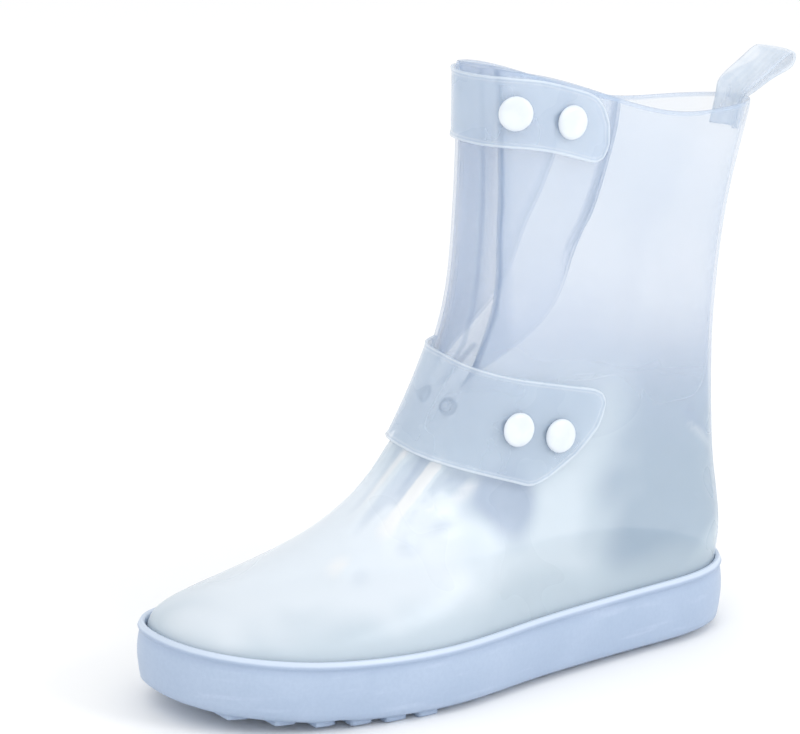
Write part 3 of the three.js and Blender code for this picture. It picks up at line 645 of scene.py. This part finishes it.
# Press studs. Glossy white caps of hard plastic snap over clear studs, which are riveted through
# the shaft's wall. Two more clear studs under the ankle strap are spare, for a tighter fit, and
# show through it as rings.
CAP_WHITE = (0.76, 0.81, 0.86)
CAP_GREY = (0.70, 0.75, 0.81)
CAP_GLOSS = (0.16, 0.24)
STUD_BLUE = (0.62, 0.70, 0.80)
STUD_PALE = (0.72, 0.79, 0.87)
STUD_GLOSS = (0.2, 0.3)
STUD_SHARE = 0.55
SPARE_BLUE = (0.72, 0.80, 0.90)
SPARE_PALE = (0.80, 0.87, 0.94)
RING_DARK = (0.26, 0.35, 0.48)
RING_START = (0.0026, 0.0034)
RING_SHARES = (0.4, 0.9)
CAP_TONE_SIZE = 0.008
STUD_TONE_SIZE = 0.006
STUD_TURN = math.radians(50)
STUD_SHARPNESS = 0.7
CAP_LEVELS = 3
STUD_LEVELS = 2

cap_white, tree, shader = new_finish("white_cap")
where = put(tree, "ShaderNodeTexCoord").outputs["Object"]
tone = ramp(tree, cloud(tree, where, CAP_TONE_SIZE, 2.0), *MIDDLING)
tree.links.new(blend(tree, tone, CAP_WHITE, CAP_GREY), shader.inputs["Base Color"])
tree.links.new(between(tree, tone, *CAP_GLOSS), shader.inputs["Roughness"])

stud_clear, tree, shader = new_finish("clear_stud")
where = put(tree, "ShaderNodeTexCoord").outputs["Object"]
tone = ramp(tree, cloud(tree, where, STUD_TONE_SIZE, 2.0), *MIDDLING)
tree.links.new(blend(tree, tone, STUD_BLUE, STUD_PALE), shader.inputs["Base Color"])
tree.links.new(between(tree, tone, *STUD_GLOSS), shader.inputs["Roughness"])
shader.inputs["Alpha"].default_value = STUD_SHARE

ring_clear, tree, shader = new_finish("ring_stud")
where = put(tree, "ShaderNodeTexCoord").outputs["Object"]
tone = ramp(tree, cloud(tree, where, STUD_TONE_SIZE, 2.0), *MIDDLING)
ring = read(tree, "ring_distance")
tint = blend(tree, tone, SPARE_BLUE, SPARE_PALE)
tint = blend(tree, ramp(tree, ring, *RING_START, 0.0, 0.9), tint, RING_DARK)
tree.links.new(tint, shader.inputs["Base Color"])
tree.links.new(between(tree, tone, *STUD_GLOSS), shader.inputs["Roughness"])
tree.links.new(ramp(tree, ring, *RING_START, *RING_SHARES), shader.inputs["Alpha"])


def small_part(node, ending, levels):
    """A cap or stud as a smooth piece that keeps its sharp edges."""
    shape = welded_copy(node)
    keep_sharp(shape, STUD_TURN, STUD_SHARPNESS)
    return smoothed(shape, node + ending, levels)


for pair in ("rim_tab", "ankle"):
    for number in (1, 2):
        cap = f"{pair}_cap_{number}"
        stud = f"{pair}_stud_{number}"
        seated(small_part(cap, "_dome", CAP_LEVELS), cap_white, "white_cap", cap)
        seated(small_part(stud, "_rivet", STUD_LEVELS), stud_clear, "clear_stud", stud)

for number in (1, 2):
    node = f"spare_stud_{number}"
    spare = small_part(node, "_rivet", STUD_LEVELS)
    spots = [vertex.co for vertex in spare.data.vertices]
    middle = sum(spots, Vector()) / len(spots)
    note(spare, "ring_distance", [(spot - middle).length for spot in spots])
    seated(spare, ring_clear, "clear_stud", node)


# Pull loop. A ribbon of clear ribbed PVC bent into a loop, its two ends welded inside the back
# of the rim.
RIBBON_BLUE = (0.66, 0.74, 0.84)
RIBBON_PALE = (0.78, 0.84, 0.91)
RIBBON_SHADE = (0.46, 0.56, 0.70)
RIBBON_EDGE = (0.0120, 0.0132)
RIB_PITCH = 0.0042
RIB_DEPTH = 0.3
RIBBON_TONE_SIZE = 0.01
RIBBON_GLOSS = (0.25, 0.36)
RIBBON_SHARE = 0.3
RIBBON_GRAZE = 0.5
RIBBON_TURN = math.radians(60)
RIBBON_SHARPNESS = 0.6
RIBBON_LEVELS = 2

ribbon_film, tree, shader = new_finish("ribbon_film")
where = put(tree, "ShaderNodeTexCoord").outputs["Object"]
mottle = ramp(tree, cloud(tree, where, RIBBON_TONE_SIZE, 3.0), *MIDDLING)
across = put(tree, "ShaderNodeSeparateXYZ", [("Vector", where)]).outputs["X"]
ribs = put(
    tree,
    "ShaderNodeMath",
    [(0, product(tree, across, 2 * math.pi / RIB_PITCH))],
    operation="COSINE",
).outputs[0]
side_line = ramp(tree, maths(tree, "ABSOLUTE", across, 0.0), *RIBBON_EDGE)
tint = blend(tree, mottle, RIBBON_BLUE, RIBBON_PALE)
tint = blend(tree, ramp(tree, ribs, -1.0, 1.0, 0.0, RIB_DEPTH), tint, RIBBON_SHADE)
tint = blend(tree, side_line, tint, RIBBON_SHADE)
tree.links.new(tint, shader.inputs["Base Color"])
tree.links.new(between(tree, mottle, *RIBBON_GLOSS), shader.inputs["Roughness"])
graze = put(tree, "ShaderNodeLayerWeight", [("Blend", 0.3)]).outputs["Facing"]
share = between(tree, product(tree, graze, RIBBON_GRAZE), RIBBON_SHARE, 1.0)
tree.links.new(share, shader.inputs["Alpha"])

shape = welded_copy("pull_loop")
keep_sharp(shape, RIBBON_TURN, RIBBON_SHARPNESS)
loop = smoothed(shape, "pull_loop_ribbon", RIBBON_LEVELS)
seated(loop, ribbon_film, "clear_film", "pull_loop")


# Stage. A plain pale floor under soft studio light, seen from the photograph's angle.
FLOOR_WHITE = (0.95, 0.95, 0.95, 1.0)
FLOOR_ROUGHNESS = 0.9
FLOOR_SHINE = 0.1
FLOOR_HALF = 9.0
SKY_WHITE = (0.99, 0.996, 1.0, 1.0)
SKY_STRENGTH = 1.02
LAMPS = [
    {"name": "key", "at": (0.9, -1.3, 1.9), "size": 1.2, "power": 6.0},
    {"name": "fill", "at": (1.8, 0.9, 1.3), "size": 0.8, "power": 12.0},
]
LAMP_TARGET = Vector((0.0, 0.0, 0.12))

floor_finish, tree, shader = new_finish("floor")
shader.inputs["Base Color"].default_value = FLOOR_WHITE
shader.inputs["Roughness"].default_value = FLOOR_ROUGHNESS
shader.inputs["Specular IOR Level"].default_value = FLOOR_SHINE
slab = bmesh.new()
bmesh.ops.create_grid(slab, x_segments=1, y_segments=1, size=FLOOR_HALF)
floor_mesh = bpy.data.meshes.new("floor")
slab.to_mesh(floor_mesh)
slab.free()
floor = bpy.data.objects.new("floor", floor_mesh)
floor_mesh.materials.append(floor_finish)
scene.collection.objects.link(floor)

world = bpy.data.worlds.new("studio")
scene.world = world
world.use_nodes = True
world.node_tree.nodes["Background"].inputs["Color"].default_value = SKY_WHITE
world.node_tree.nodes["Background"].inputs["Strength"].default_value = SKY_STRENGTH

for row in LAMPS:
    lamp = bpy.data.lights.new(row["name"], "AREA")
    lamp.shape = "DISK"
    lamp.size = row["size"]
    lamp.energy = row["power"]
    holder = bpy.data.objects.new(row["name"], lamp)
    holder.location = row["at"]
    aim = Vector(row["at"]) - LAMP_TARGET
    holder.rotation_euler = aim.to_track_quat("Z", "Y").to_euler()
    scene.collection.objects.link(holder)

AZIMUTH = math.radians(54.4)
ELEVATION = math.radians(14.8)
ROLL = math.radians(1.0)
EYE = Vector((1.1695, -0.8654, 0.5218))
LENS = 152.6
SENSOR_WIDTH = 36.0
FURTHEST_SEEN = 50.0
back = Vector(
    (
        math.sin(AZIMUTH) * math.cos(ELEVATION),
        -math.cos(AZIMUTH) * math.cos(ELEVATION),
        math.sin(ELEVATION),
    )
)
level = Vector((math.cos(AZIMUTH), math.sin(AZIMUTH), 0.0))
upright = back.cross(level)
right = level * math.cos(ROLL) + upright * math.sin(ROLL)
up = upright * math.cos(ROLL) - level * math.sin(ROLL)
view = bpy.data.cameras.new("camera")
view.lens = LENS
view.sensor_width = SENSOR_WIDTH
view.clip_end = FURTHEST_SEEN
camera = bpy.data.objects.new("camera", view)
camera.matrix_world = Matrix.Translation(EYE) @ Matrix((right, up, back)).transposed().to_4x4()
scene.collection.objects.link(camera)
scene.camera = camera

# A line of sight crosses many skins of film in the bellows, and all of them are see-through.
scene.view_settings.view_transform = "Standard"
scene.cycles.transparent_max_bounces = 64
scene.cycles.max_bounces = 10
